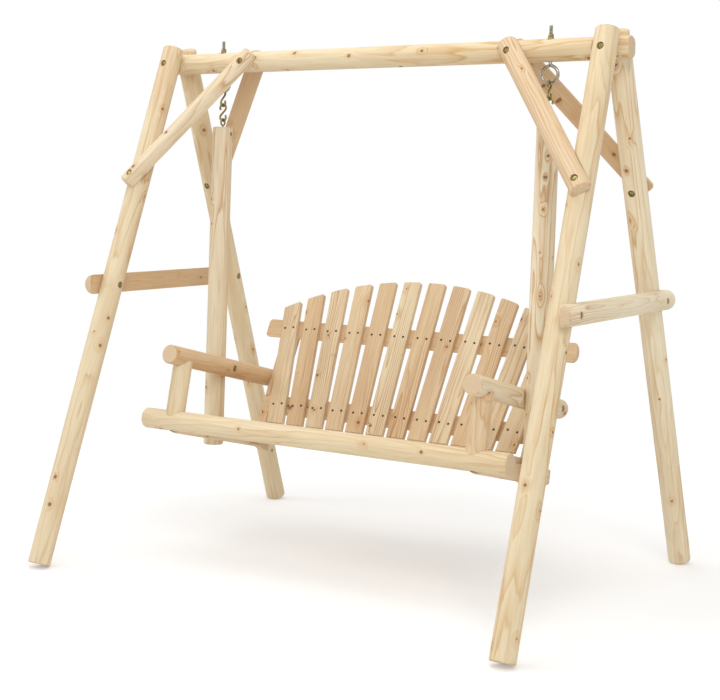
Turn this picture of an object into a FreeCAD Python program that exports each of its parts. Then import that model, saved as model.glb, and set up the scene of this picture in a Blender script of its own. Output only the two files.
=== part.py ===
import FreeCAD, Part
import math
import os

from FreeCAD import Placement, Rotation, Vector

# An A-frame porch swing of peeled round logs, in millimetres.
# X runs along the crossbar, the sitter faces -Y, Z is up.
# The origin lies on the ground under the middle of the crossbar.

doc = FreeCAD.newDocument("porch_swing")
sheet = doc.addObject("Spreadsheet::Sheet", "Sizes")

SIZES = {
    # A-frame
    "frame_height": (1702, "ground to the highest edge of the leg tops"),
    "frame_depth": (1397, "front foot to rear foot, outer edges"),
    "leg_gap": (121, "hanging post to leg at the crossbar"),
    "leg_splay": (25, "leg axis further out at its foot than at the crossbar"),
    "leg_diameter": (72, "round log of each leg"),
    "bar_diameter": (68, "round log of the crossbar"),
    "bar_overhang": (24, "crossbar beyond the legs"),
    "bar_drop": (62, "leg tops down to the crossbar axis"),
    "leg_lap": (10, "flat cut into a leg where it lies on the crossbar"),
    "bar_lap": (8, "flat cut into the crossbar for a leg"),
    "half_log_diameter": (64, "split log of the braces and side rungs"),
    "half_log_lap": (5, "flat seat cut into a log for a split log"),
    "brace_inset": (113, "brace bolt on the crossbar inside the eye bolt"),
    "brace_drop": (402, "crossbar axis down to the brace bolt in the leg"),
    "brace_overhang": (36, "brace beyond each of its bolts"),
    "rung_height": (893, "ground to the axis of the side rungs"),
    "rung_overhang": (72, "side rung beyond each leg axis"),
    "log_easing": (5, "rounding of the round log ends"),
    "half_log_easing": (13, "rounding of the split log ends"),
    # hangers
    "eye_wire": (10, "stock of the eye bolts"),
    "eye_inner": (42, "opening of the eye bolt rings"),
    "eye_drop": (6, "crossbar underside to the top of the ring"),
    "eye_stud": (25, "eye bolt thread above its nuts"),
    "washer_diameter": (30, "washer under the eye bolt nuts"),
    "washer_thickness": (3, "washer under the eye bolt nuts"),
    "washer_sink": (5, "flat spot for the washer on the crossbar"),
    "hook_wire": (7, "stock of the S hooks"),
    "hook_bend": (12, "bend radius of the S hook wire axis"),
    "hook_centres": (33, "between the two bend centres of an S hook"),
    "hook_turn": (262, "angle turned by each bend of an S hook, in degrees"),
    "hook_play": (0.3, "gap between hanging links"),
    "screw_eye_wire": (6, "stock of the screw eyes"),
    "screw_eye_bend": (11, "ring radius of the screw eye wire axis"),
    "screw_eye_neck": (3, "screw eye ring above the post top"),
    "screw_eye_depth": (48, "screw eye shank in the post"),
    # bench
    "bench_tilt": (13.3, "seat and arms fall to the rear, in degrees"),
    "rail_forward": (318, "front rail axis ahead of the hanging line"),
    "rail_height": (458, "front rail axis above the ground"),
    "front_rail_length": (1321, "front rail end to end"),
    "front_rail_diameter": (66, "front rail log"),
    "side_rail_diameter": (60, "side rail logs under the seat"),
    "side_rail_spacing": (1096, "left to right between the side rail axes"),
    "side_rail_drop": (9, "side rail axis below the front rail axis"),
    "side_rail_tail": (38.5, "side rail beyond the axis of its upright"),
    "side_flat": (9, "flat along the outer side of a side rail"),
    "seat_flat": (6, "flat along the top of a side rail under the seat"),
    "arm_diameter": (62, "armrest logs"),
    "arm_rise": (210, "armrest axis above the front rail axis"),
    "arm_front": (78, "armrest ahead of the front rail axis"),
    "arm_tail": (43, "armrest beyond the axis of its upright"),
    "notch_margin": (13, "lap cuts beyond the log that lies in them"),
    "support_diameter": (62, "short arm support logs"),
    "cope_trim": (10, "cupped log ends stop short of the axis of the log they cup"),
    "post_diameter": (68, "hanging post logs"),
    "post_lap": (3, "flat cut into a post for a side rail or armrest"),
    "post_lean": (1.8, "hanging posts, bottom towards the front, in degrees"),
    "post_tail": (44, "post below the side rail axis"),
    # seat and back
    "seat_slat_count": (5, "slats of the seat"),
    "seat_slat_gap": (10.5, "between seat slats"),
    "seat_slat_thickness": (19, "slats of the seat"),
    "seat_end_gap": (5, "seat slat ends short of the outer flats of the side rails"),
    "seat_front_gap": (3, "front rail to the first seat slat"),
    "seat_back_gap": (17.5, "last seat slat to the uprights"),
    "back_slat_count": (12, "slats of the back"),
    "back_slat_width": (65, "slats of the back"),
    "back_slat_thickness": (16, "slats of the back"),
    "back_slat_length": (559, "middle slats of the back"),
    "back_slat_gap": (14.6, "between back slats at the bottom of the back"),
    "fan_radius": (2835, "bottom of the back to the point the slats fan out from"),
    "arch_radius": (1190, "arched top of the back"),
    "back_recline": (14.2, "back from square to the seat, in degrees"),
    "back_forward": (418, "front rail axis to the bottom front edge of the back"),
    "back_rise": (50, "front rail axis up to the bottom of the back"),
    "back_rail_diameter": (66, "split logs behind the back slats"),
    "upper_rail_rise": (355, "bottom of the back to the upper back rail"),
    "lower_rail_rise": (70, "bottom of the back to the lower back rail"),
    "upper_rail_overhang": (72, "upper back rail beyond the uprights"),
    "lower_rail_inset": (7, "lower back rail short of the outer faces of the uprights"),
    "upright_thickness": (34, "back uprights, left to right"),
    "upright_depth": (62, "back uprights, front to rear"),
    "upright_lap": (3, "flat cut into a log for an upright"),
    "upright_above": (42, "upright above the upper back rail axis"),
    "upright_below": (34, "upright below the side rail axis"),
    # fasteners
    "bolt_diameter": (10, "bolts"),
    "bolt_tail": (3, "bolt beyond its nut"),
    "hex_across": (16, "bolt heads and nuts across flats"),
    "head_height": (7, "bolt heads"),
    "nut_height": (8, "nuts"),
    "counterbore_diameter": (22, "sunk holes for bolt heads and nuts"),
    "counterbore_depth": (11, "sunk holes square to the wood"),
    "slant_counterbore_depth": (15, "sunk holes that enter the wood at a slant"),
    "bolt_clearance": (0.3, "around a bolt in its hole"),
    "seat_clearance": (0.3, "between curved seats and in housings"),
    "support_bolt_sink": (5, "flat spot for a support bolt head under the front rail"),
    "support_bolt_bite": (26, "support bolt into the armrest"),
    "foot_bolt_rise": (27, "post foot bolt above the side rail axis"),
    "screw_diameter": (4, "slat screws"),
    "screw_length": (36, "slat screws"),
    "screw_head_diameter": (8, "slat screws"),
    "screw_head_height": (3, "slat screws"),
    "screw_sink": (0.8, "screw heads below the wood"),
    "screw_spacing": (34, "between the two screws of a slat"),
    "slat_corner": (7, "rounding of the top corners of the back slats"),
    "slat_easing": (2, "rounding along the edges of slats and uprights"),
}

for row, (alias, (value, note)) in enumerate(SIZES.items(), start=1):
    sheet.set("A%d" % row, note)
    sheet.set("B%d" % row, str(value))
    sheet.setAlias("B%d" % row, alias)
doc.recompute()


def size(alias):
    """One driving dimension as a number."""
    return float(sheet.get(alias))


X_AXIS = Vector(1, 0, 0)
Y_AXIS = Vector(0, 1, 0)
Z_AXIS = Vector(0, 0, 1)
SIDES = {"left": -1, "right": 1}
ENDS = {"front": -1, "rear": 1}
CUT_REACH = 2 * (size("leg_diameter") + size("post_diameter"))

sub_parts = []


def bind(obj, **sizes):
    """Set properties: text is an expression on the sheet, a number is a worked-out size."""
    for name, value in sizes.items():
        if isinstance(value, str):
            obj.setExpression(name, value)
        else:
            setattr(obj, name, value)
    return obj


def add(kind, name, **sizes):
    return bind(doc.addObject(kind, name), **sizes)


def aligned(origin, along, facing):
    """Placement whose local Z runs along one direction and whose local X faces another."""
    return Placement(origin, Rotation(facing, along.cross(facing), along, "ZXY"))


def cylinder(name, placement, radius, height):
    return add("Part::Cylinder", name, Radius=radius, Height=height, Placement=placement)


def block(name, placement, length, width, height):
    """Box centred on the local X and Y of its placement and rising along its local Z."""
    box = add("Part::Box", name, Length=length, Width=width, Height=height)
    box.recompute()
    box.Placement = placement * Placement(Vector(-box.Length.Value / 2, -box.Width.Value / 2, 0), Rotation())
    return box


def fused(name, *pieces):
    fuse = doc.addObject("Part::MultiFuse", name)
    fuse.Shapes = list(pieces)
    return fuse


def eased(name, base, radius, is_end):
    """Round chosen edges of a piece."""
    doc.recompute()
    fillet = doc.addObject("Part::Fillet", name)
    fillet.Base = base
    fillet.Edges = [(i, radius, radius) for i, edge in enumerate(base.Shape.Edges, start=1) if is_end(edge)]
    return fillet


def is_arc(edge):
    return isinstance(edge.Curve, Part.Circle)


def is_any(edge):
    return True


def round_log(name, start, finish, diameter):
    """Whole log between two points of its axis."""
    along = (finish - start).normalize()
    facing = Y_AXIS if abs(along.x) > abs(along.y) else X_AXIS
    stock = cylinder(name + "_stock", aligned(start, along, facing),
                     "Sizes.%s / 2" % diameter, start.distanceToPoint(finish))
    return eased(name + "_log", stock, size("log_easing"), is_arc)


def split_log(name, start, finish, bulge, diameter):
    """Half log between two points of its flat face, round towards the bulge direction."""
    along = (finish - start).normalize()
    stock = cylinder(name + "_stock", aligned(start, along, bulge.cross(along)),
                     "Sizes.%s / 2" % diameter, start.distanceToPoint(finish))
    stock.Angle = 180
    return eased(name + "_log", stock, size("half_log_easing"), is_arc)


def finished(label, base, *tools):
    """Cut the tools out of a piece and list it as a sub-part under its own label."""
    piece = base
    if tools:
        piece = doc.addObject("Part::Cut", label + "_cut")
        piece.Base = base
        piece.Tool = tools[0] if len(tools) == 1 else fused(label + "_tools", *tools)
    piece.Label = label
    sub_parts.append(piece)
    return piece


def group(label, copies):
    """Several separate solids of one kind in one sub-part."""
    solids = []
    for master, placement in copies:
        solid = master.Shape.copy()
        solid.Placement = placement
        solids.append(solid)
    piece = doc.addObject("Part::Feature", label)
    piece.Shape = Part.makeCompound(solids)
    piece.Label = label
    sub_parts.append(piece)
    return piece


# Fasteners: each is made once, head seat at its origin, shank along local Z

hex_corner = "Sizes.hex_across / sqrt(3)"


def hex_bolt(name, shank):
    head = add("Part::Prism", name + "_head", Polygon=6, Circumradius=hex_corner, Height="Sizes.head_height",
               Placement=Placement(Vector(0, 0, -size("head_height")), Rotation()))
    stem = cylinder(name + "_stem", Placement(), "Sizes.bolt_diameter / 2", shank)
    return fused(name, head, stem)


def through_bolt(name, grip):
    return hex_bolt(name, grip + size("nut_height") + size("bolt_tail"))


def hex_nut(name, thread):
    nut = doc.addObject("Part::Cut", name)
    nut.Base = add("Part::Prism", name + "_body", Polygon=6, Circumradius=hex_corner,
                   Height="Sizes.nut_height")
    nut.Tool = cylinder(name + "_bore", Placement(), "Sizes.%s / 2 + Sizes.bolt_clearance / 2" % thread,
                        "Sizes.nut_height")
    return nut


def bolt_bore(name, place, grip, reach=CUT_REACH):
    """Hole for a bolt with sunk holes for its head and its nut."""
    radius = "Sizes.counterbore_diameter / 2"
    hole = cylinder(name + "_hole", place, "Sizes.bolt_diameter / 2 + Sizes.bolt_clearance", grip)
    head = cylinder(name + "_head", place * Placement(Vector(0, 0, -reach), Rotation()), radius, reach)
    nut = cylinder(name + "_nut", place * Placement(Vector(0, 0, grip), Rotation()), radius, reach)
    return fused(name, hole, head, nut)


def past_grip(place, grip):
    """Where the nut of a bolt sits."""
    return place * Placement(Vector(0, 0, grip), Rotation())


nut_master = hex_nut("nut", "bolt_diameter")
eye_nut_master = hex_nut("eye_nut", "eye_wire")

# A-frame geometry

bar_radius = size("bar_diameter") / 2
leg_radius = size("leg_diameter") / 2
split_radius = size("half_log_diameter") / 2
bar_height = size("frame_height") - size("bar_drop")
lap_plane = bar_radius - size("bar_lap")
leg_offset = lap_plane + leg_radius - size("leg_lap")
hang_spacing = (size("side_rail_spacing") + size("side_rail_diameter") + size("post_diameter")
                - 2 * size("side_flat") - 2 * size("post_lap"))
top_spacing = hang_spacing + size("post_diameter") + size("leg_diameter") + 2 * size("leg_gap")
bar_length = top_spacing + size("leg_diameter") + 2 * size("bar_overhang")
brace_bar_x = hang_spacing / 2 - size("brace_inset")


class LegLine:
    """Axis of one leg, from its square-cut foot to its square-cut top."""

    def __init__(self, side, end):
        self.joint = Vector(side * top_spacing / 2, end * leg_offset, bar_height)
        self.foot = Vector(side * (top_spacing / 2 + size("leg_splay")), end * size("frame_depth") / 2, 0)
        for _ in range(30):
            self.down = (self.foot - self.joint).normalize()
            lean = math.acos(-self.down.z)
            rim_lift = size("log_easing") * (math.sin(lean) + math.cos(lean) - 1)
            rim_drop = leg_radius * math.sin(lean) - rim_lift
            rim_reach = leg_radius * math.sqrt(1 - self.down.y ** 2) - rim_lift
            self.foot.y = end * (size("frame_depth") / 2 - rim_reach)
            self.foot.z = rim_drop
        self.top = self.at_height(size("frame_height") - rim_drop)

    def at_height(self, height):
        return self.joint + self.down * ((height - bar_height) / self.down.z)


legs = {(side, end): LegLine(SIDES[side], ENDS[end]) for side in SIDES for end in ENDS}


class BraceLine:
    """Seat plane and axis of one brace, flat against the crossbar and one leg."""

    def __init__(self, side, end):
        drop = size("brace_drop")
        leg_point = legs[side, end].at_height(bar_height - drop)
        run = abs(leg_point.y)
        slope = math.atan2(run, drop) + math.asin((leg_radius - bar_radius) / math.hypot(run, drop))
        self.bulge = Vector(0, ENDS[end] * math.cos(slope), math.sin(slope))
        self.bar_face = (bar_radius - size("half_log_lap")) / math.cos(slope)
        self.outer_face = self.bar_face + split_radius / math.cos(slope)
        self.bar_seat = Vector(SIDES[side] * brace_bar_x, ENDS[end] * self.bar_face, bar_height)
        self.leg_seat = leg_point + self.bulge * (leg_radius - size("half_log_lap"))
        self.along = (self.leg_seat - self.bar_seat).normalize()
        self.start = self.bar_seat - self.along * size("brace_overhang")
        self.finish = self.leg_seat + self.along * size("brace_overhang")


braces = {key: BraceLine(*key) for key in legs}


class RungLine:
    """Flat face and axis of one side rung on the outer faces of its two legs."""

    def __init__(self, side):
        front = legs[side, "front"].at_height(size("rung_height"))
        rear = legs[side, "rear"].at_height(size("rung_height"))
        slope = legs[side, "front"].foot - legs[side, "front"].joint
        self.bulge = Vector(SIDES[side] * -slope.z, 0, SIDES[side] * slope.x).normalize()
        seat = self.bulge * (leg_radius - size("half_log_lap"))
        self.seats = {"front": front + seat, "rear": rear + seat}
        self.start = self.seats["front"] - Y_AXIS * size("rung_overhang")
        self.finish = self.seats["rear"] + Y_AXIS * size("rung_overhang")


rungs = {side: RungLine(side) for side in SIDES}


def housing(name, line):
    """Flat seat under a split log, as wide as the log and its clearance."""
    along = (line.finish - line.start).normalize()
    place = aligned(line.start, line.bulge, along)
    length = line.start.distanceToPoint(line.finish)
    place = place * Placement(Vector(length / 2, 0, 0), Rotation())
    room = 2 * size("seat_clearance")
    return block(name, place, length + room, size("half_log_diameter") + room, CUT_REACH)


brace_housings = {key: housing("brace_housing_%s_%s" % key, braces[key]) for key in braces}
rung_housings = {side: housing("rung_housing_" + side, rungs[side]) for side in rungs}

# A-frame bolts

crossbar_grip = 2 * (leg_offset + leg_radius - size("counterbore_depth"))
crossbar_bolt_places = {}
for side, sign in SIDES.items():
    bolt_start = Vector(sign * top_spacing / 2, -crossbar_grip / 2, bar_height)
    crossbar_bolt_places[side] = aligned(bolt_start, Y_AXIS, X_AXIS)
crossbar_bores = {side: bolt_bore("crossbar_bore_" + side, crossbar_bolt_places[side], crossbar_grip)
                  for side in SIDES}

brace_grip = 2 * (braces["left", "front"].outer_face - size("slant_counterbore_depth"))
brace_bolt_places = {side: aligned(Vector(sign * brace_bar_x, -brace_grip / 2, bar_height), Y_AXIS, X_AXIS)
                     for side, sign in SIDES.items()}
brace_bores = {side: bolt_bore("brace_bore_" + side, brace_bolt_places[side], brace_grip) for side in SIDES}

split_head_depth = split_radius - size("counterbore_depth")
frame_grip = split_head_depth + 2 * leg_radius - size("half_log_lap") - size("counterbore_depth")
leg_brace_places = {
    key: aligned(line.leg_seat + line.bulge * split_head_depth, -line.bulge, X_AXIS)
    for key, line in braces.items()
}
rung_places = {
    (side, end): aligned(seat + line.bulge * split_head_depth, -line.bulge, Y_AXIS)
    for side, line in rungs.items() for end, seat in line.seats.items()
}
leg_brace_bores = {key: bolt_bore("leg_brace_bore_%s_%s" % key, place, frame_grip)
                   for key, place in leg_brace_places.items()}
rung_bores = {key: bolt_bore("rung_bore_%s_%s" % key, place, frame_grip)
              for key, place in rung_places.items()}

# Legs, crossbar, braces and side rungs


def lap_box(name, side, end):
    """Space of the crossbar's flat end, cut from a leg."""
    x = SIDES[side] * top_spacing / 2
    place = aligned(Vector(x, ENDS[end] * lap_plane, bar_height), Y_AXIS * -ENDS[end], X_AXIS)
    return block(name, place, CUT_REACH, CUT_REACH, CUT_REACH)


def bar_flat(name, side, end):
    """Flat on the crossbar from under a leg out to the crossbar's end."""
    inner = top_spacing / 2 - leg_radius - size("notch_margin")
    length = bar_length / 2 - inner + size("notch_margin")
    place = aligned(Vector(SIDES[side] * (inner + length / 2), ENDS[end] * lap_plane, bar_height),
                    Y_AXIS * ENDS[end], X_AXIS)
    return block(name, place, length, size("bar_diameter"), size("bar_diameter"))


for (side, end), line in legs.items():
    name = "leg_%s_%s" % (end, side)
    finished(name, round_log(name, line.foot, line.top, "leg_diameter"),
             lap_box("lap_%s_%s" % (side, end), side, end),
             brace_housings[side, end], rung_housings[side],
             crossbar_bores[side], leg_brace_bores[side, end], rung_bores[side, end])

for (side, end), line in braces.items():
    name = "brace_%s_%s" % (end, side)
    finished(name, split_log(name, line.start, line.finish, line.bulge, "half_log_diameter"),
             brace_bores[side], leg_brace_bores[side, end])

for side, line in rungs.items():
    name = "side_rung_" + side
    finished(name, split_log(name, line.start, line.finish, line.bulge, "half_log_diameter"),
             rung_bores[side, "front"], rung_bores[side, "rear"])

eye_seat = bar_height + bar_radius - size("washer_sink")
eye_top = eye_seat + size("washer_thickness") + 2 * size("nut_height") + size("eye_stud")
eye_hole_radius = "Sizes.eye_wire / 2 + Sizes.bolt_clearance"
eye_x = {side: SIDES[side] * hang_spacing / 2 for side in SIDES}


def eye_hole(side):
    """Upright hole for an eye bolt with a flat spot for its washer."""
    bottom = Vector(eye_x[side], 0, bar_height - size("bar_diameter"))
    hole = cylinder("eye_hole_" + side, aligned(bottom, Z_AXIS, X_AXIS), eye_hole_radius,
                    "Sizes.bar_diameter * 2")
    spot = cylinder("eye_spot_" + side, aligned(Vector(eye_x[side], 0, eye_seat), Z_AXIS, X_AXIS),
                    "Sizes.washer_diameter / 2 + Sizes.bolt_clearance", "Sizes.bar_diameter")
    return fused("eye_bore_" + side, hole, spot)


bar_end = Vector(bar_length / 2, 0, 0)
bar_middle = Vector(0, 0, bar_height)
finished("crossbar", round_log("crossbar", bar_middle - bar_end, bar_middle + bar_end, "bar_diameter"),
         *[bar_flat("bar_flat_%s_%s" % key, *key) for key in legs],
         *brace_housings.values(), *crossbar_bores.values(), *brace_bores.values(),
         *[eye_hole(side) for side in SIDES])

# Hangers

eye_radius = size("eye_inner") / 2 + size("eye_wire") / 2
eye_centre_z = bar_height - bar_radius - size("eye_drop") - eye_radius - size("eye_wire") / 2
eye_pivot_z = eye_centre_z - eye_radius
hook_wire_radius = size("hook_wire") / 2
hook_span = size("hook_centres") + 2 * size("hook_bend")
upper_crown_z = eye_pivot_z + size("eye_wire") / 2 + hook_wire_radius + size("hook_play")
lower_crown_z = upper_crown_z - hook_span + size("hook_wire") + size("hook_play")
bench_pivot_z = lower_crown_z - hook_span
screw_eye_z = (bench_pivot_z + hook_wire_radius + size("screw_eye_wire") / 2 + size("hook_play")
               - size("screw_eye_bend"))
post_top_z = screw_eye_z - size("screw_eye_bend") - size("screw_eye_wire") / 2 - size("screw_eye_neck")

eye_ring = add("Part::Torus", "eye_ring", Radius1="Sizes.eye_inner / 2 + Sizes.eye_wire / 2",
               Radius2="Sizes.eye_wire / 2", Placement=aligned(Vector(), Y_AXIS, X_AXIS))
eye_shank = cylinder("eye_shank", Placement(Vector(0, 0, eye_radius), Rotation()), "Sizes.eye_wire / 2",
                     eye_top - eye_centre_z - eye_radius)
eye_bolt_master = fused("eye_bolt", eye_ring, eye_shank)

washer = doc.addObject("Part::Cut", "washer")
washer.Base = cylinder("washer_disc", Placement(), "Sizes.washer_diameter / 2", "Sizes.washer_thickness")
washer.Tool = cylinder("washer_hole", Placement(), eye_hole_radius, "Sizes.washer_thickness")


def hook_path(crown, sideways):
    """S-shaped wire axis hanging from its crown, first bend towards the sideways direction."""
    bend = size("hook_bend")
    upper = crown - Z_AXIS * bend
    lower = upper - Z_AXIS * size("hook_centres")
    leave = math.asin(2 * bend / size("hook_centres"))
    tip = math.radians(size("hook_turn")) - leave

    def on_bend(centre, angle, turn):
        return centre + (sideways * math.cos(angle) + Z_AXIS * math.sin(angle)) * (bend * turn)

    def arc(centre, first, last, turn):
        angles = (first, (first + last) / 2, last)
        return Part.Arc(*[on_bend(centre, angle, turn) for angle in angles])

    first_bend = arc(upper, tip, -leave, 1)
    last_bend = arc(lower, -leave, tip, -1)
    straight = Part.LineSegment(first_bend.EndPoint, last_bend.StartPoint)
    return Part.Wire([first_bend.toShape(), straight.toShape(), last_bend.toShape()])


def hook(label, crown, sideways):
    path = doc.addObject("Part::Feature", label + "_axis")
    path.Shape = hook_path(crown, sideways)
    first = path.Shape.Edges[0]
    start = first.valueAt(first.FirstParameter)
    tangent = first.tangentAt(first.FirstParameter)
    section = add("Part::Circle", label + "_section", Radius="Sizes.hook_wire / 2",
                  Placement=aligned(start, tangent, sideways.cross(Z_AXIS)))
    wire = doc.addObject("Part::Sweep", label + "_wire")
    wire.Sections = [section]
    wire.Spine = (path, ["Edge%d" % i for i in range(1, len(path.Shape.Edges) + 1)])
    wire.Solid = True
    finished(label, wire)


for side in SIDES:
    hook("upper_hook_" + side, Vector(eye_x[side], 0, upper_crown_z), Y_AXIS)
    hook("lower_hook_" + side, Vector(eye_x[side], 0, lower_crown_z), X_AXIS * -SIDES[side])

# Bench geometry: V runs to the rear along the seat, W rises square to it

tilt = math.radians(size("bench_tilt"))
V_AXIS = Vector(0, math.cos(tilt), -math.sin(tilt))
W_AXIS = Vector(0, math.sin(tilt), math.cos(tilt))
bench_origin = Vector(0, -size("rail_forward"), size("rail_height"))


def on_bench(x, v, w):
    return bench_origin + X_AXIS * x + V_AXIS * v + W_AXIS * w


recline = math.radians(size("back_recline"))
BACK_UP = V_AXIS * math.sin(recline) + W_AXIS * math.cos(recline)
BACK_REAR = V_AXIS * math.cos(recline) - W_AXIS * math.sin(recline)
back_foot = on_bench(0, size("back_forward"), size("back_rise"))


def on_back(x, up, rear):
    return back_foot + X_AXIS * x + BACK_UP * up + BACK_REAR * rear


lean = math.radians(size("post_lean"))
POST_DOWN = Vector(0, -math.sin(lean), -math.cos(lean))
rail_radius = size("front_rail_diameter") / 2
side_radius = size("side_rail_diameter") / 2
arm_radius = size("arm_diameter") / 2
side_x = size("side_rail_spacing") / 2
side_w = -size("side_rail_drop")
contact_x = side_x + side_radius - size("side_flat")
post_x = hang_spacing / 2
upright_outer_x = side_x - side_radius + size("upright_lap")
upright_inner_x = upright_outer_x - size("upright_thickness")
seat_w = side_w + side_radius - size("seat_flat")
slat_back = size("back_slat_thickness")
upright_axis = slat_back + size("upright_depth") / 2


def post_run(w):
    """Distance down a post's axis to a height above the seat plane."""
    top = Vector(0, 0, post_top_z)
    return (w - (top - bench_origin).dot(W_AXIS)) / POST_DOWN.dot(W_AXIS)


def upright_rise(w):
    """Distance up the back at which an upright's axis crosses a height above the seat plane."""
    return (w - (on_back(0, 0, upright_axis) - bench_origin).dot(W_AXIS)) / BACK_UP.dot(W_AXIS)


def post_at(side, w):
    return Vector(SIDES[side] * post_x, 0, post_top_z) + POST_DOWN * post_run(w)


def upright_at(side, w):
    point = on_back(0, upright_rise(w), upright_axis)
    return Vector(SIDES[side] * upright_outer_x, point.y, point.z)


def upright_reach(w):
    """Distance to the rear of the front rail's axis at which an upright's axis crosses a height."""
    return (upright_at("right", w) - bench_origin).dot(V_AXIS)


# Bench bolts: one length holds posts and uprights to side rails and armrests

levels = {"rail": side_w, "arm": size("arm_rise")}
log_radius = {"rail": side_radius, "arm": arm_radius}
log_x = {"rail": side_x, "arm": contact_x + size("side_flat") - arm_radius}
upright_head_x = contact_x - size("head_height")
bench_grip = upright_head_x - upright_inner_x


def outside(point, side, x):
    """Bolt placement at a point's height and depth, head at x, shank towards the middle."""
    return aligned(Vector(SIDES[side] * x, point.y, point.z), X_AXIS * -SIDES[side], Z_AXIS)


upright_bolt_places = {(side, level): outside(upright_at(side, w), side, upright_head_x)
                       for side in SIDES for level, w in levels.items()}
post_bolt_places = {}
for side in SIDES:
    for level, w in levels.items():
        nut_x = log_x[level] - log_radius[level] + size("counterbore_depth")
        post_bolt_places[side, level] = outside(post_at(side, w), side, nut_x + bench_grip)

upright_bores = {key: bolt_bore("upright_bore_%s_%s" % key, place, bench_grip)
                 for key, place in upright_bolt_places.items()}
post_bores = {key: bolt_bore("post_bore_%s_%s" % key, place, bench_grip)
              for key, place in post_bolt_places.items()}

# Screws

screw_master = fused(
    "screw",
    cylinder("screw_head", Placement(), "Sizes.screw_head_diameter / 2", "Sizes.screw_head_height"),
    cylinder("screw_stem", Placement(), "Sizes.screw_diameter / 2", "Sizes.screw_length"))
screw_places = []


def screw_hole(spot, direction):
    """Hole for a slat screw, open above its sunk head; the screw itself is listed for later."""
    place = aligned(spot, direction, X_AXIS)
    screw_places.append(place)
    name = "screw_hole_%d" % len(screw_places)
    above = place * Placement(Vector(0, 0, -size("screw_head_height")), Rotation())
    head = cylinder(name + "_head", above, "Sizes.screw_head_diameter / 2 + Sizes.bolt_clearance",
                    "Sizes.screw_head_height * 2 + Sizes.bolt_clearance")
    stem = cylinder(name + "_stem", place, "Sizes.screw_diameter / 2 + Sizes.bolt_clearance / 2",
                    "Sizes.screw_length + Sizes.bolt_clearance")
    return fused(name, head, stem)


SCREW_PAIR = (-size("screw_spacing") / 2, size("screw_spacing") / 2)

# Seat slats

seat_count = int(size("seat_slat_count"))
seat_front = max(rail_radius, size("support_diameter") / 2) + size("seat_front_gap")
upright_front = upright_reach(seat_w) - size("upright_depth") / 2 / math.cos(recline)
seat_step = (upright_front - size("seat_back_gap") - seat_front + size("seat_slat_gap")) / seat_count
seat_width = seat_step - size("seat_slat_gap")
seat_length = 2 * (contact_x - size("seat_end_gap"))
seat_top = seat_w + size("seat_slat_thickness")
seat_holes = {side: [] for side in SIDES}

for index in range(seat_count):
    name = "seat_slat_%d" % (index + 1)
    middle = seat_front + seat_width / 2 + index * seat_step
    board = block(name + "_board", aligned(on_bench(0, middle, seat_w), W_AXIS, X_AXIS),
                  seat_length, seat_width, "Sizes.seat_slat_thickness")
    holes = []
    for side, sign in SIDES.items():
        spot = on_bench(sign * side_x, middle, seat_top - size("screw_sink"))
        pair = [screw_hole(spot + V_AXIS * shift, -W_AXIS) for shift in SCREW_PAIR]
        seat_holes[side].extend(pair)
        holes.extend(pair)
    finished(name, eased(name + "_eased", board, size("slat_easing"), is_any), *holes)

# Back slats: fanned boards, bottoms on one line, tops under one arch

back_count = int(size("back_slat_count"))
back_length = size("back_slat_length")
rail_rises = {"upper": size("upper_rail_rise"), "lower": size("lower_rail_rise")}
rail_holes = {rail: [] for rail in rail_rises}
arch_centre = on_back(0, back_length - size("arch_radius"), 0)
arch = cylinder("back_arch", aligned(arch_centre, BACK_REAR, X_AXIS), "Sizes.arch_radius",
                "Sizes.back_slat_thickness")
above_foot = block("back_above_foot", aligned(on_back(0, 0, slat_back / 2), BACK_UP, X_AXIS),
                   2 * size("arch_radius"), CUT_REACH, 2 * back_length)


def is_top_corner(edge):
    """Short edge through the thickness of the back, in its upper half."""
    through = edge.Vertexes[-1].Point - edge.Vertexes[0].Point
    is_short = abs(through.Length - abs(through.dot(BACK_REAR))) < size("seat_clearance")
    return is_short and (edge.CenterOfMass - back_foot).dot(BACK_UP) > back_length / 2


def is_on_face(edge):
    """Edge along the front or the back of a back slat."""
    return abs(edge.tangentAt(edge.FirstParameter).dot(BACK_REAR)) < 0.5


for index in range(back_count):
    name = "back_slat_%02d" % (index + 1)
    foot_x = (index - (back_count - 1) / 2) * (size("back_slat_width") + size("back_slat_gap"))
    fan = math.atan2(foot_x, size("fan_radius"))
    slat_up = X_AXIS * math.sin(fan) + BACK_UP * math.cos(fan)
    slat_across = X_AXIS * math.cos(fan) - BACK_UP * math.sin(fan)
    start = on_back(foot_x, 0, slat_back / 2) - slat_up * size("back_slat_width")
    board = block(name + "_board", aligned(start, slat_up, slat_across), "Sizes.back_slat_width",
                  "Sizes.back_slat_thickness", back_length + 2 * size("back_slat_width"))
    trimmed = doc.addObject("Part::MultiCommon", name + "_trimmed")
    trimmed.Shapes = [board, arch, above_foot]
    holes = []
    for rail, rise in rail_rises.items():
        spot = on_back(foot_x * (1 + rise / size("fan_radius")), rise, size("screw_sink"))
        pair = [screw_hole(spot + slat_across * shift, BACK_REAR) for shift in SCREW_PAIR]
        rail_holes[rail].extend(pair)
        holes.extend(pair)
    rounded = eased(name + "_rounded", trimmed, size("slat_corner"), is_top_corner)
    finished(name, eased(name + "_eased", rounded, size("slat_easing"), is_on_face), *holes)

# Back rails and uprights

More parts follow.
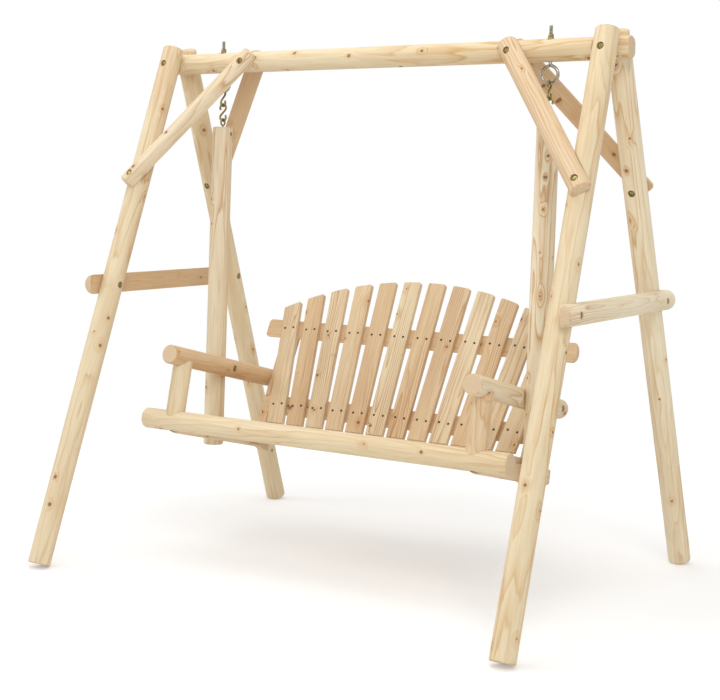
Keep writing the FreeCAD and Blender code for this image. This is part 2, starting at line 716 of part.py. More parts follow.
rail_rooms = []
rail_halves = {"upper": upright_outer_x + size("upper_rail_overhang"),
               "lower": upright_outer_x - size("lower_rail_inset")}
for rail, rise in rail_rises.items():
    name = rail + "_back_rail"
    half = rail_halves[rail]
    start = on_back(-half, rise, slat_back)
    log = split_log(name, start, on_back(half, rise, slat_back), BACK_REAR, "back_rail_diameter")
    finished(name, log, *rail_holes[rail])
    rail_rooms.append(cylinder(rail + "_rail_room", aligned(start, X_AXIS, Z_AXIS),
                               "Sizes.back_rail_diameter / 2 + Sizes.seat_clearance", 2 * half))

upright_low = upright_rise(side_w) - size("upright_below")
upright_length = size("upper_rail_rise") + size("upright_above") - upright_low
for side in SIDES:
    name = "back_upright_" + side
    foot = on_back(SIDES[side] * (upright_inner_x + upright_outer_x) / 2, upright_low, upright_axis)
    board = block(name + "_board", aligned(foot, BACK_UP, X_AXIS), "Sizes.upright_thickness",
                  "Sizes.upright_depth", upright_length)
    edged = eased(name + "_eased", board, size("slat_easing"), is_any)
    finished(name, edged, *rail_rooms, *[upright_bores[side, level] for level in levels])

# Posts with their screw eyes

foot_grip = size("post_diameter") - 2 * size("counterbore_depth")
foot_bolt_places = {}
for side in SIDES:
    name = "post_" + side
    top = Vector(SIDES[side] * post_x, 0, post_top_z)
    bottom = post_at(side, side_w) + POST_DOWN * size("post_tail")
    spot = post_at(side, side_w) - POST_DOWN * size("foot_bolt_rise")
    foot_bolt_places[side] = aligned(spot - Y_AXIS * (foot_grip / 2), Y_AXIS, X_AXIS)
    inward = X_AXIS * -SIDES[side]
    flats = []
    for level, w in levels.items():
        crossing = post_at(side, w)
        crossing.x = SIDES[side] * contact_x
        flats.append(block("%s_%s_flat" % (name, level), aligned(crossing, inward, V_AXIS), CUT_REACH,
                           2 * (log_radius[level] + size("seat_clearance")), CUT_REACH))
    eye_depth = size("screw_eye_depth") + size("seat_clearance")
    eye_room = cylinder(name + "_eye_room", aligned(top - Z_AXIS * eye_depth, Z_AXIS, X_AXIS),
                        "Sizes.screw_eye_wire / 2 + Sizes.bolt_clearance", 2 * eye_depth)
    foot_bore = bolt_bore(name + "_foot_bore", foot_bolt_places[side], foot_grip)
    finished(name, round_log(name, top, bottom, "post_diameter"), *flats, eye_room, foot_bore,
             *[post_bores[side, level] for level in levels])

screw_ring = add("Part::Torus", "screw_ring", Radius1="Sizes.screw_eye_bend",
                 Radius2="Sizes.screw_eye_wire / 2", Placement=aligned(Vector(), X_AXIS, Y_AXIS))
screw_shank_low = post_top_z - size("screw_eye_depth") - screw_eye_z
screw_shank = cylinder("screw_shank", Placement(Vector(0, 0, screw_shank_low), Rotation()),
                       "Sizes.screw_eye_wire / 2", -size("screw_eye_bend") - screw_shank_low)
screw_eye_master = fused("screw_eye", screw_ring, screw_shank)

# Front rail, side rails, armrests and arm supports

support_bolt_low = size("support_bolt_sink") - rail_radius
support_bolt_high = size("arm_rise") - arm_radius + size("support_bolt_bite")
support_bolt_length = support_bolt_high - support_bolt_low
support_bolt_places = {side: aligned(on_bench(sign * log_x["arm"], 0, support_bolt_low), W_AXIS, X_AXIS)
                       for side, sign in SIDES.items()}


def support_bore(side):
    """Hole for a support bolt with a flat spot for its head."""
    place = support_bolt_places[side]
    below = place * Placement(Vector(0, 0, -rail_radius), Rotation())
    hole = cylinder("support_hole_" + side, place, "Sizes.bolt_diameter / 2 + Sizes.bolt_clearance",
                    support_bolt_length + size("seat_clearance"))
    spot = cylinder("support_spot_" + side, below, "Sizes.counterbore_diameter / 2", rail_radius)
    return fused("support_bore_" + side, hole, spot)


support_bores = {side: support_bore(side) for side in SIDES}
rail_half = size("front_rail_length") / 2
finished("front_rail", round_log("front_rail", on_bench(-rail_half, 0, 0), on_bench(rail_half, 0, 0),
                                 "front_rail_diameter"), *support_bores.values())
front_room = cylinder("front_rail_room", aligned(on_bench(-rail_half, 0, 0), X_AXIS, Z_AXIS),
                      "Sizes.front_rail_diameter / 2 + Sizes.seat_clearance", 2 * rail_half)


def upright_seat(side, level):
    """Flat for an upright on the inner side of a side rail or armrest."""
    place = aligned(upright_at(side, levels[level]), X_AXIS * -SIDES[side], BACK_UP)
    return block("upright_seat_%s_%s" % (side, level), place, CUT_REACH,
                 size("upright_depth") + 2 * size("seat_clearance"), CUT_REACH)


for side, sign in SIDES.items():
    name = "side_rail_" + side
    start = on_bench(sign * side_x, size("cope_trim"), side_w)
    reach = upright_reach(side_w) + size("side_rail_tail")
    finish = on_bench(sign * side_x, reach, side_w)
    outer_place = aligned(on_bench(sign * contact_x, reach / 2, side_w), X_AXIS * sign, V_AXIS)
    top_place = aligned(on_bench(sign * side_x, reach / 2, seat_w), W_AXIS, V_AXIS)
    outer_flat = block(name + "_outer_flat", outer_place, 2 * reach, CUT_REACH, CUT_REACH)
    top_flat = block(name + "_top_flat", top_place, 2 * reach, CUT_REACH, CUT_REACH)
    finished(name, round_log(name, start, finish, "side_rail_diameter"), front_room, outer_flat, top_flat,
             upright_seat(side, "rail"), upright_bores[side, "rail"], post_bores[side, "rail"],
             *seat_holes[side])

    name = "armrest_" + side
    arm_x = sign * log_x["arm"]
    front = on_bench(arm_x, -size("arm_front"), size("arm_rise"))
    rear = on_bench(arm_x, upright_reach(size("arm_rise")) + size("arm_tail"), size("arm_rise"))
    crossing = post_at(side, size("arm_rise"))
    crossing.x = sign * contact_x
    notch = block(name + "_notch", aligned(crossing, X_AXIS * sign, V_AXIS),
                  size("post_diameter") + 2 * size("notch_margin"), CUT_REACH, CUT_REACH)
    finished(name, round_log(name, front, rear, "arm_diameter"), notch, upright_seat(side, "arm"),
             upright_bores[side, "arm"], post_bores[side, "arm"], support_bores[side])

    name = "arm_support_" + side
    support_low = seat_w + size("seat_clearance")
    place = aligned(on_bench(arm_x, 0, support_low), W_AXIS, X_AXIS)
    stock = cylinder(name + "_stock", place, "Sizes.support_diameter / 2",
                     size("arm_rise") - size("cope_trim") - support_low)
    arm_room = cylinder(name + "_arm_room", aligned(front, V_AXIS, X_AXIS),
                        "Sizes.arm_diameter / 2 + Sizes.seat_clearance", front.distanceToPoint(rear))
    finished(name, stock, front_room, arm_room, support_bores[side])

# Fasteners in their places

crossbar_bolt = through_bolt("crossbar_bolt", crossbar_grip)
brace_bolt = through_bolt("brace_bolt", brace_grip)
frame_bolt = through_bolt("frame_bolt", frame_grip)
bench_bolt = through_bolt("bench_bolt", bench_grip)
foot_bolt = through_bolt("foot_bolt", foot_grip)
support_bolt = hex_bolt("support_bolt", support_bolt_length)
doc.recompute()

frame_places = [*leg_brace_places.values(), *rung_places.values()]
bench_places = [*upright_bolt_places.values(), *post_bolt_places.values()]
group("crossbar_bolts", [(crossbar_bolt, place) for place in crossbar_bolt_places.values()])
group("brace_bolts", [(brace_bolt, place) for place in brace_bolt_places.values()])
group("frame_bolts", [(frame_bolt, place) for place in frame_places])
group("bench_bolts", [(bench_bolt, place) for place in bench_places])
group("post_foot_bolts", [(foot_bolt, place) for place in foot_bolt_places.values()])
group("support_bolts", [(support_bolt, place) for place in support_bolt_places.values()])

frame_nut_places = [past_grip(place, crossbar_grip) for place in crossbar_bolt_places.values()]
frame_nut_places += [past_grip(place, brace_grip) for place in brace_bolt_places.values()]
frame_nut_places += [past_grip(place, frame_grip) for place in frame_places]
bench_nut_places = [past_grip(place, bench_grip) for place in bench_places]
bench_nut_places += [past_grip(place, foot_grip) for place in foot_bolt_places.values()]
group("frame_nuts", [(nut_master, place) for place in frame_nut_places])
group("bench_nuts", [(nut_master, place) for place in bench_nut_places])

washer_places = [Placement(Vector(x, 0, eye_seat), Rotation()) for x in eye_x.values()]
first_nut = size("washer_thickness")
eye_nut_places = [past_grip(place, lift) for place in washer_places
                  for lift in (first_nut, first_nut + size("nut_height"))]
ring_places = [Placement(Vector(x, 0, eye_centre_z), Rotation()) for x in eye_x.values()]
screw_eye_places = [Placement(Vector(x, 0, screw_eye_z), Rotation()) for x in eye_x.values()]
group("eye_bolts", [(eye_bolt_master, place) for place in ring_places])
group("eye_bolt_washers", [(washer, place) for place in washer_places])
group("eye_bolt_nuts", [(eye_nut_master, place) for place in eye_nut_places])
group("screw_eyes", [(screw_eye_master, place) for place in screw_eye_places])
group("slat_screws", [(screw_master, place) for place in screw_places])

# Check and write every sub-part

doc.recompute()
for obj in doc.Objects:
    if "Invalid" in obj.State or "Error" in obj.State:
        raise RuntimeError("%s did not build" % obj.Name)
os.makedirs("parts", exist_ok=True)
for piece in sub_parts:
    if piece.Shape.isNull() or not piece.Shape.isValid() or not piece.Shape.Solids:
        raise RuntimeError("%s has no valid solid" % piece.Label)
    piece.Shape.exportStep("parts/%s.step" % piece.Label)
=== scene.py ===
import math

import bpy
import numpy as np
from mathutils import Matrix, Vector


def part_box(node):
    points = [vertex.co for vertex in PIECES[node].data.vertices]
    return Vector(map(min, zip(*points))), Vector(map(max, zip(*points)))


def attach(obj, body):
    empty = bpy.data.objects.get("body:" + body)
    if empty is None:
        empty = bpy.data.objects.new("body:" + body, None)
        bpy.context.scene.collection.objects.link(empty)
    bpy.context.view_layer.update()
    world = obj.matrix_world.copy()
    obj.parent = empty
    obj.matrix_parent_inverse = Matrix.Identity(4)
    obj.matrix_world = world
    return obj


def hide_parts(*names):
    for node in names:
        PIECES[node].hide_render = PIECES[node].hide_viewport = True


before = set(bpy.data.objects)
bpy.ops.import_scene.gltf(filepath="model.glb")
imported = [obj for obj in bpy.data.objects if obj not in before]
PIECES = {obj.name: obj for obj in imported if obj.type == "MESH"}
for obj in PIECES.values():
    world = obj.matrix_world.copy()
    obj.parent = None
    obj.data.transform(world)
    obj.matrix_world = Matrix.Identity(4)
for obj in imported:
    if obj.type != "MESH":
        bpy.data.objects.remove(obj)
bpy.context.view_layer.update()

# Photograph's viewpoint, in pixels of its 720 by 700 frame and in metres

PICTURE = (720, 700)
PICTURE_CENTRE = (290, 300)
LENS_PIXELS = 1483
FILM_WIDTH_MM = 36
EYE = Vector((2.445, -4.084, 1.244))
YAW, PITCH, ROLL = math.radians(34.03), math.radians(4.58), math.radians(0.89)


def photographer():
    back = Vector((math.sin(YAW) * math.cos(PITCH), -math.cos(YAW) * math.cos(PITCH), math.sin(PITCH)))
    right = Vector((math.cos(YAW), math.sin(YAW), 0))
    level = Matrix((right, back.cross(right), back)).transposed()
    camera = bpy.data.objects.new("photographer", bpy.data.cameras.new("photographer"))
    bpy.context.scene.collection.objects.link(camera)
    camera.matrix_world = Matrix.Translation(EYE) @ (level @ Matrix.Rotation(ROLL, 3, "Z")).to_4x4()
    camera.data.sensor_width = FILM_WIDTH_MM
    camera.data.lens = LENS_PIXELS / PICTURE[0] * FILM_WIDTH_MM
    camera.data.shift_x = (PICTURE[0] / 2 - PICTURE_CENTRE[0]) / PICTURE[0]
    camera.data.shift_y = (PICTURE_CENTRE[1] - PICTURE[1] / 2) / PICTURE[0]
    bpy.context.scene.camera = camera


# Laying out materials

def paint(red, green, blue):
    """Colour as the eye reads it, 0 to 255, turned into light."""
    return tuple(((c / 255 + 0.055) / 1.055) ** 2.4 for c in (red, green, blue)) + (1.0,)


def open_material(name):
    material = bpy.data.materials.new(name)
    material.use_nodes = True
    material.node_tree.nodes.clear()
    return material, material.node_tree


def lay(tree, kind, inputs, **settings):
    """Add a node, with its inputs linked where they come from another node and set where they don't."""
    made = tree.nodes.new("ShaderNode" + kind)
    for name, value in settings.items():
        setattr(made, name, value)
    for socket, value in inputs.items():
        if isinstance(value, bpy.types.NodeSocket):
            tree.links.new(value, made.inputs[socket])
        else:
            made.inputs[socket].default_value = value
    return made


def sums(tree, operation, *values):
    return lay(tree, "Math", dict(enumerate(values)), operation=operation).outputs[0]


def arrows(tree, operation, *values):
    made = lay(tree, "VectorMath", dict(enumerate(values)), operation=operation)
    return made.outputs["Value" if operation in ("DOT_PRODUCT", "LENGTH") else "Vector"]


def rising(tree, value, low, high, from_share=0.0, to_share=1.0):
    made = lay(tree, "MapRange", {0: value, 1: low, 2: high, 3: from_share, 4: to_share},
               interpolation_type="SMOOTHSTEP")
    return made.outputs[0]


def stain(tree, share, wood, colour, blend="MIX"):
    made = lay(tree, "Mix", {0: share, 6: wood, 7: colour}, data_type="RGBA", blend_type=blend)
    return made.outputs[2]


def figure(tree, coords, stretch, detail=2.0, roughness=0.5, output="Fac"):
    stretched = arrows(tree, "MULTIPLY", coords, stretch)
    return lay(tree, "TexNoise", {"Vector": stretched, "Scale": 1.0, "Detail": detail,
                                  "Roughness": roughness}).outputs[output]


def bands(tree, share, *stops):
    made = lay(tree, "ValToRGB", {0: share})
    strip = made.color_ramp
    while len(strip.elements) < len(stops):
        strip.elements.new(0.5)
    for element, (place, tone) in zip(strip.elements, stops):
        element.position = place
        element.color = tone if isinstance(tone, tuple) else (tone, tone, tone, 1)
    return made.outputs[0]


def dress(piece, material):
    piece.data.materials.clear()
    piece.data.materials.append(material)


# Pine

# coordinates in a piece run across its face, through its thickness and along its grain
SQUARE_TO_GRAIN, WITH_GRAIN = (1, 1, 0), (0, 0, 1)

# turns in a metre of each figure of the wood, in these coordinates
SLOW_BEND, QUICK_BEND, RING_WOBBLE = (5, 5, 0.8), (20, 20, 2.6), (60, 60, 3)
RING_PATCHES, CLOUDS, STREAKS, FIBRES = (8, 8, 1.4), (11, 11, 1.9), (75, 75, 1.5), (360, 360, 8)
KNOT_EDGE, KNOT_SPECKS = (160, 160, 110), (420, 420, 420)
SAW_MARKS, SCUFFS, HUMPS = (900, 900, 900), (90, 90, 40), (30, 30, 9)
# hair cracks of a sawn end, by the way from the heart
CRACKS = (4.5, 4.5, 0)

# metres between the stretches of one long tree that the pieces are cut from
TREE_STEP = 3.7
# metres that the bends push the rings aside, and years that a knot and a wobble add
SLOW_PUSH, QUICK_PUSH = (0.046, 0.046, 0), (0.022, 0.022, 0)
SWIRL_YEARS, WOBBLE_YEARS = 1.3, 0.5
BRANCHES_PER_METRE = 10.0
# radii of knots, and how far their edges stray, in metres
KNOT_RADII, KNOT_STRAY = (0.0035, 0.0085), 0.004
# reach of the swirl round a knot, as a share of the room that its branch has
SWIRL_SHARE, SWIRL_NARROWED = 0.98, (1.7, 1.7, 1)

KNOT_BROWN, KNOT_DARK = paint(158, 104, 62), paint(84, 50, 30)
END_PALE, END_LINE, END_CRACK = paint(231, 209, 177), paint(190, 153, 111), paint(112, 82, 54)
# what fibres, the ground round a knot, the saw and rubbing leave of the light
FIBRE_SHADE, KNOT_SHADE = (0.80, 0.72, 0.60, 1), (0.84, 0.62, 0.40, 1)
SAWN_SHADE, RUBBED_SHADE = (0.86, 0.84, 0.80, 1), (0.80, 0.68, 0.54, 1)


def grain_of(piece):
    """Middle of a piece and its axes as rows: across the face, through the thickness, along the grain."""
    points = np.empty(len(piece.data.vertices) * 3)
    piece.data.vertices.foreach_get("co", points)
    points = np.unique(points.reshape(-1, 3).round(5), axis=0)
    middle = points.mean(0)
    along, across = np.linalg.svd(points - middle, full_matrices=False)[2][:2]
    axes = np.array((across, np.cross(along, across), along))
    run = (points - middle) @ axes.T
    middle = middle + (run.min(0) + run.max(0)) / 2 @ axes
    return Vector(middle), Matrix(axes.tolist())


def outwards(tree, grain):
    """Way from the heart, square to the grain."""
    return arrows(tree, "NORMALIZE", arrows(tree, "MULTIPLY", grain, SQUARE_TO_GRAIN))


def knots(tree, grain, reach):
    """Branches that leave the heart square to the grain, some of which end at the surface as knots.

    Gives the share of knot there is at a place, the way to the place from the middle of its branch,
    and how far that is in radii of the knot and in reaches of the swirl round it.
    """
    flat = outwards(tree, grain)
    skin = arrows(tree, "ADD", arrows(tree, "MULTIPLY", flat, (reach, reach, 0)),
                  arrows(tree, "MULTIPLY", grain, WITH_GRAIN))
    cells = {"Vector": skin, "Scale": BRANCHES_PER_METRE}
    branch = lay(tree, "TexVoronoi", cells, feature="F1")
    room = lay(tree, "TexVoronoi", cells, feature="N_SPHERE_RADIUS").outputs["Radius"]

    tip = branch.outputs["Position"]
    lead = outwards(tree, tip)
    level = arrows(tree, "MULTIPLY", grain, SQUARE_TO_GRAIN)
    beside = arrows(tree, "SUBTRACT", level, arrows(tree, "PROJECT", level, lead))
    above = arrows(tree, "MULTIPLY", arrows(tree, "SUBTRACT", grain, tip), WITH_GRAIN)
    aside = arrows(tree, "ADD", beside, above)

    # one branch in three, on its own side of the heart, where it has room
    kind = lay(tree, "SeparateColor", {0: branch.outputs["Color"]})
    is_knot = sums(tree, "MULTIPLY", rising(tree, kind.outputs[0], 0.66, 0.68),
                   rising(tree, arrows(tree, "DOT_PRODUCT", flat, lead), 0.0, 0.2))
    is_knot = sums(tree, "MULTIPLY", is_knot, rising(tree, room, 0.12, 0.16))

    radius = rising(tree, kind.outputs[1], 0.0, 1.0, *KNOT_RADII)
    ragged = sums(tree, "MULTIPLY", figure(tree, grain, KNOT_EDGE, 2.0), KNOT_STRAY)
    off_knot = sums(tree, "DIVIDE", sums(tree, "ADD", arrows(tree, "LENGTH", aside), ragged),
                    sums(tree, "ADD", radius, KNOT_STRAY / 2))
    off_swirl = sums(tree, "DIVIDE", arrows(tree, "LENGTH", arrows(tree, "MULTIPLY", aside, SWIRL_NARROWED)),
                     sums(tree, "MULTIPLY", room, SWIRL_SHARE / BRANCHES_PER_METRE))
    return is_knot, aside, off_knot, off_swirl


def late_wood(tree, grain, ring, swirl):
    """Share of dark late wood, in yearly rings that wander along the heart and swirl round knots."""
    half = (0.5, 0.5, 0.5)
    slow = arrows(tree, "SUBTRACT", figure(tree, grain, SLOW_BEND, 1.0, 0.4, "Color"), half)
    quick = arrows(tree, "SUBTRACT", figure(tree, grain, QUICK_BEND, 2.0, 0.45, "Color"), half)
    drift = arrows(tree, "ADD", arrows(tree, "MULTIPLY", slow, SLOW_PUSH),
                   arrows(tree, "MULTIPLY", quick, QUICK_PUSH))
    bent = arrows(tree, "MULTIPLY", arrows(tree, "ADD", grain, drift), SQUARE_TO_GRAIN)
    wobble = figure(tree, grain, RING_WOBBLE, 2.0)
    years = sums(tree, "ADD", sums(tree, "DIVIDE", arrows(tree, "LENGTH", bent), ring),
                 sums(tree, "MULTIPLY", swirl, SWIRL_YEARS))
    years = sums(tree, "ADD", years, sums(tree, "MULTIPLY", wobble, WOBBLE_YEARS))
    return bands(tree, sums(tree, "FRACT", years), (0.0, 0.0), (0.40, 0.10), (0.74, 0.46), (0.88, 1.0),
                 (1.0, 0.0))


def sawn_wood(tree, grain, late):
    """Wood of a sawn end: rings in full, hair cracks outwards, greyed by the saw."""
    wood = stain(tree, late, END_PALE, END_LINE)
    crack = figure(tree, outwards(tree, grain), CRACKS, 2.0)
    wood = stain(tree, rising(tree, crack, 0.665, 0.70, 0.0, 0.6), wood, END_CRACK)
    return stain(tree, figure(tree, grain, SAW_MARKS, 1.0), wood, SAWN_SHADE, "MULTIPLY")


def rubbed_edges(tree, grain, toward, sharp_edges):
    """Share of rubbing: along all edges of a board, and round the rims of a log."""
    if sharp_edges:
        face = sums(tree, "MAXIMUM", sums(tree, "MAXIMUM", toward[0], toward[1]), toward[2])
        edge = rising(tree, face, 0.985, 0.90)
    else:
        edge = sums(tree, "MULTIPLY", rising(tree, toward[2], 0.10, 0.45),
                    rising(tree, toward[2], 0.98, 0.80))
    patchy = rising(tree, figure(tree, grain, SCUFFS, 3.0), 0.35, 0.65, 0.2, 0.8)
    return sums(tree, "MULTIPLY", edge, patchy)


def pine(piece, number, heart, reach, ring, pale, line, sharp_edges=False):
    """Pine whose rings close round a heart that lies off the middle of the piece."""
    material, tree = open_material("pine_" + piece.name)
    middle, axes = grain_of(piece)
    heart = axes @ Vector(heart)
    place = -(axes @ middle) - Vector((heart.x, heart.y, 0)) + Vector((0, 0, TREE_STEP * number))
    coords = lay(tree, "TexCoord", {})
    grain = lay(tree, "Mapping", {"Vector": coords.outputs["Object"], "Location": place,
                                  "Rotation": axes.to_euler()}).outputs[0]
    toward = [sums(tree, "ABSOLUTE", arrows(tree, "DOT_PRODUCT", coords.outputs["Normal"], tuple(row)))
              for row in axes]
    is_knot, aside, off_knot, off_swirl = knots(tree, grain, reach)
    swirl = sums(tree, "MULTIPLY", rising(tree, off_swirl, 0.0, 1.0, 1.0, 0.0), is_knot)
    late = late_wood(tree, grain, ring, swirl)
    fibre = figure(tree, grain, FIBRES, 3.0, 0.65)

    # cloudy tone, resin streaks, rings that show in patches, fibres
    cloud = figure(tree, grain, CLOUDS, 3.0, 0.55)
    streak = figure(tree, grain, STREAKS, 2.0, 0.5)
    patches = rising(tree, figure(tree, grain, RING_PATCHES, 2.0), 0.36, 0.66, 0.14, 0.9)
    warm = tuple(0.55 * p + 0.45 * l for p, l in zip(pale, line))
    wood = stain(tree, rising(tree, cloud, 0.42, 0.68, 0.0, 0.5), pale, warm)
    wood = stain(tree, rising(tree, streak, 0.60, 0.72, 0.0, 0.4), wood, line)
    wood = stain(tree, sums(tree, "MULTIPLY", late, patches), wood, line)
    wood = stain(tree, rising(tree, fibre, 0.35, 0.75, 0.0, 0.5), wood, FIBRE_SHADE, "MULTIPLY")

    # knots on darker ground
    ground = sums(tree, "MULTIPLY", rising(tree, off_swirl, 0.15, 0.9, 0.5, 0.0), is_knot)
    wood = stain(tree, ground, wood, KNOT_SHADE, "MULTIPLY")
    core = bands(tree, off_knot, (0.0, 0.62), (0.45, 0.80), (0.66, 1.0), (0.82, 0.30), (1.0, 0.0))
    knot = sums(tree, "MULTIPLY", core, is_knot)
    knot_wood = stain(tree, figure(tree, aside, KNOT_SPECKS, 2.0), KNOT_BROWN, KNOT_DARK)
    wood = stain(tree, knot, wood, knot_wood)

    wood = stain(tree, rising(tree, toward[2], 0.80, 0.96), wood, sawn_wood(tree, grain, late))
    scuff = rubbed_edges(tree, grain, toward, sharp_edges)
    wood = stain(tree, scuff, wood, RUBBED_SHADE, "MULTIPLY")

    height = sums(tree, "ADD", sums(tree, "MULTIPLY", fibre, 0.45), sums(tree, "MULTIPLY", late, 0.22))
    height = sums(tree, "ADD", height, sums(tree, "MULTIPLY", figure(tree, grain, HUMPS, 2.0), 1.6))
    height = sums(tree, "SUBTRACT", height, knot)
    bump = lay(tree, "Bump", {"Height": height, "Strength": 0.4, "Distance": 0.001})
    rough = sums(tree, "SUBTRACT", rising(tree, fibre, 0.25, 0.75, 0.54, 0.76),
                 sums(tree, "MULTIPLY", scuff, 0.12))
    shader = lay(tree, "BsdfPrincipled", {"Base Color": wood, "Roughness": rough,
                                          "Normal": bump.outputs[0]})
    lay(tree, "OutputMaterial", {0: shader.outputs[0]})
    return material


CREAM, PALE, STRAW = paint(242, 230, 202), paint(234, 221, 193), paint(232, 216, 183)
ROSY, TAN = paint(227, 204, 170), paint(221, 194, 156)
GOLD, HONEY, AMBER = paint(205, 163, 102), paint(198, 150, 95), paint(177, 128, 82)

# tone of each whole log, and of its ring lines: part real tone, part painted shade, with the left-hand logs
# darker where they stand away from the key light
LOG_TONES_AND_SHADE = {
    "leg_front_left": (STRAW, HONEY), "leg_rear_left": (STRAW, GOLD), "leg_front_right": (STRAW, GOLD),
    "leg_rear_right": (CREAM, GOLD), "crossbar": (STRAW, GOLD), "post_left": (PALE, HONEY),
    "post_right": (CREAM, HONEY), "front_rail": (STRAW, GOLD), "side_rail_left": (ROSY, HONEY),
    "side_rail_right": (ROSY, HONEY), "armrest_left": (TAN, HONEY), "armrest_right": (PALE, GOLD),
    "arm_support_left": (STRAW, GOLD), "arm_support_right": (ROSY, HONEY),
}
# tone of each split log, and the way to its flat side, near which its heart lies; the darker tones, as on
# the rear braces and the left side rung, are partly painted shade
SPLIT_LOGS = {
    "brace_front_left": (PALE, (0, 0.012, 0)), "brace_front_right": (ROSY, (0, 0.012, 0)),
    "brace_rear_left": (TAN, (0, -0.012, 0)), "brace_rear_right": (TAN, (0, -0.012, 0)),
    "side_rung_left": (TAN, (0.012, 0, 0)), "side_rung_right": (CREAM, (-0.012, 0, 0)),
    "upper_back_rail": (TAN, (0, -0.010, 0.005)), "lower_back_rail": (TAN, (0, -0.010, 0.005)),
}
BOARDS = ("back_slat", "seat_slat", "back_upright")

# metres from heart to surface, and from ring to ring
LOG_GROWTH, SPLIT_GROWTH, BOARD_GROWTH = (0.035, 0.0046), (0.032, 0.0044), (0.065, 0.0042)
# metres that a heart lies off the middle at most
LOG_HEART, BOARD_HEART = (0.005, 0.005, 0.004), (0.03, 0.055, 0.03)


def dress_wood():
    number = 0
    # the logs' tones carry painted shade as well as real tone
    for name, (pale, line) in LOG_TONES_AND_SHADE.items():
        number += 1
        heart = (LOG_HEART[0] * math.sin(number), LOG_HEART[1] * math.cos(2 * number),
                 LOG_HEART[2] * math.sin(3 * number))
        dress(PIECES[name], pine(PIECES[name], number, heart, *LOG_GROWTH, pale, line))
    # the split logs' tones carry painted shade as well as real tone
    for name, (pale, heart) in SPLIT_LOGS.items():
        number += 1
        dress(PIECES[name], pine(PIECES[name], number, heart, *SPLIT_GROWTH, pale, HONEY))
    for name in sorted(name for name in PIECES if name.startswith(BOARDS)):
        number += 1
        side = 1 if number % 2 else -1
        heart = (BOARD_HEART[0] * math.sin(1.7 * number), side * BOARD_HEART[1], side * BOARD_HEART[2])
        share = 0.5 + 0.5 * math.sin(2.3 * number)
        pale = tuple(share * s + (1 - share) * t for s, t in zip(STRAW, TAN))
        dress(PIECES[name], pine(PIECES[name], number, heart, *BOARD_GROWTH, pale, AMBER, sharp_edges=True))


# Plated steel

# turns in a metre
PLATE_CLOUDS, PLATE_GRIME, PLATE_SHEEN = (110, 110, 110), (420, 420, 420), (300, 300, 300)
GRIME_SHADE = (0.45, 0.40, 0.32, 1)


def plating(name, tones, least_rough, most_rough):
    material, tree = open_material(name)
    coords = lay(tree, "TexCoord", {}).outputs["Object"]
    cloud = figure(tree, coords, PLATE_CLOUDS, 3.0)
    colour = bands(tree, cloud, *zip((0.30, 0.46, 0.58, 0.72), tones))
    grime = rising(tree, figure(tree, coords, PLATE_GRIME, 3.0), 0.55, 0.75, 0.0, 0.45)
    colour = stain(tree, grime, colour, GRIME_SHADE, "MULTIPLY")
    rough = rising(tree, figure(tree, coords, PLATE_SHEEN, 3.0), 0.3, 0.7, least_rough, most_rough)
    bump = lay(tree, "Bump", {"Height": cloud, "Strength": 0.15, "Distance": 0.0004})
    shader = lay(tree, "BsdfPrincipled", {"Base Color": colour, "Metallic": 1.0, "Roughness": rough,
                                          "Normal": bump.outputs[0]})
    lay(tree, "OutputMaterial", {0: shader.outputs[0]})
    return material


# Working in edit mode

def put_down():
    if bpy.context.object and bpy.context.object.mode != "OBJECT":
        bpy.ops.object.mode_set(mode="OBJECT")
    bpy.ops.object.select_all(action="DESELECT")


def take(*pieces):
    put_down()
    for piece in pieces:
        piece.select_set(True)
    bpy.context.view_layer.objects.active = pieces[-1]


def settle(name):
    """Name the piece just added and leave its place in its mesh."""
    piece = bpy.context.object
    piece.name = name
    bpy.ops.object.transform_apply(location=True, rotation=True, scale=True)
    return piece


def open_faces(piece, chosen):
    """Open a piece in edit mode with the faces picked that pass the test."""
    take(piece)
    bpy.ops.object.mode_set(mode="EDIT")
    bpy.ops.mesh.select_mode(type="FACE")
    bpy.ops.mesh.select_all(action="DESELECT")
    bpy.ops.object.mode_set(mode="OBJECT")
    for face in piece.data.polygons:
        face.select = chosen(face)
    bpy.ops.object.mode_set(mode="EDIT")


def close_up(piece):
    """Merge seams, close open ends and turn all faces outwards."""
    take(piece)
    bpy.ops.object.mode_set(mode="EDIT")
    bpy.ops.mesh.select_all(action="SELECT")
    bpy.ops.mesh.remove_doubles(threshold=0.00001)
    bpy.ops.mesh.select_all(action="SELECT")
    bpy.ops.mesh.fill_holes(sides=40)
    bpy.ops.mesh.select_all(action="SELECT")
    bpy.ops.mesh.normals_make_consistent(inside=False)
    bpy.ops.object.mode_set(mode="OBJECT")


def carve(piece, tool, operation):
    take(piece)
    cutting = piece.modifiers.new("cutting", "BOOLEAN")
    cutting.operation = operation
    cutting.object = tool
    bpy.ops.object.modifier_apply(modifier="cutting")
    bpy.data.objects.remove(tool)


def weld(name, *pieces):
    take(*pieces)
    bpy.ops.object.join()
    whole = bpy.context.object
    whole.name = name
    return whole


def bar(name, sides, radius, low, high, tip=0.0):
    """Round bar upright on the Z axis, its upper end drawn in by the tip."""
    put_down()
    bpy.ops.mesh.primitive_cylinder_add(vertices=sides, radius=radius, depth=high - low - tip,
                                        location=(0, 0, (low + high - tip) / 2))
    rod = settle(name)
    if tip:
        open_faces(rod, lambda face: face.normal.z > 0.9)
        bpy.ops.mesh.extrude_region_move(TRANSFORM_OT_translate={"value": (0, 0, tip)})
        share = 1 - tip / radius
        bpy.ops.transform.resize(value=(share, share, 1))
        put_down()
    return rod


# Fasteners, in metres

HEX_ACROSS, HEX_TURNED, HEX_DRAWN_IN = 0.016, 0.0011, 0.80
HEAD_HEIGHT, HEAD_LAP = 0.007, 0.0005
NUT_HEIGHT, NUT_PLAY = 0.008, 0.0002
# an eye bolt's upper nut is locked at another angle, and each screw stops at its own
LOCKED_TURN, SCREW_TURN = 0.3, 1.9

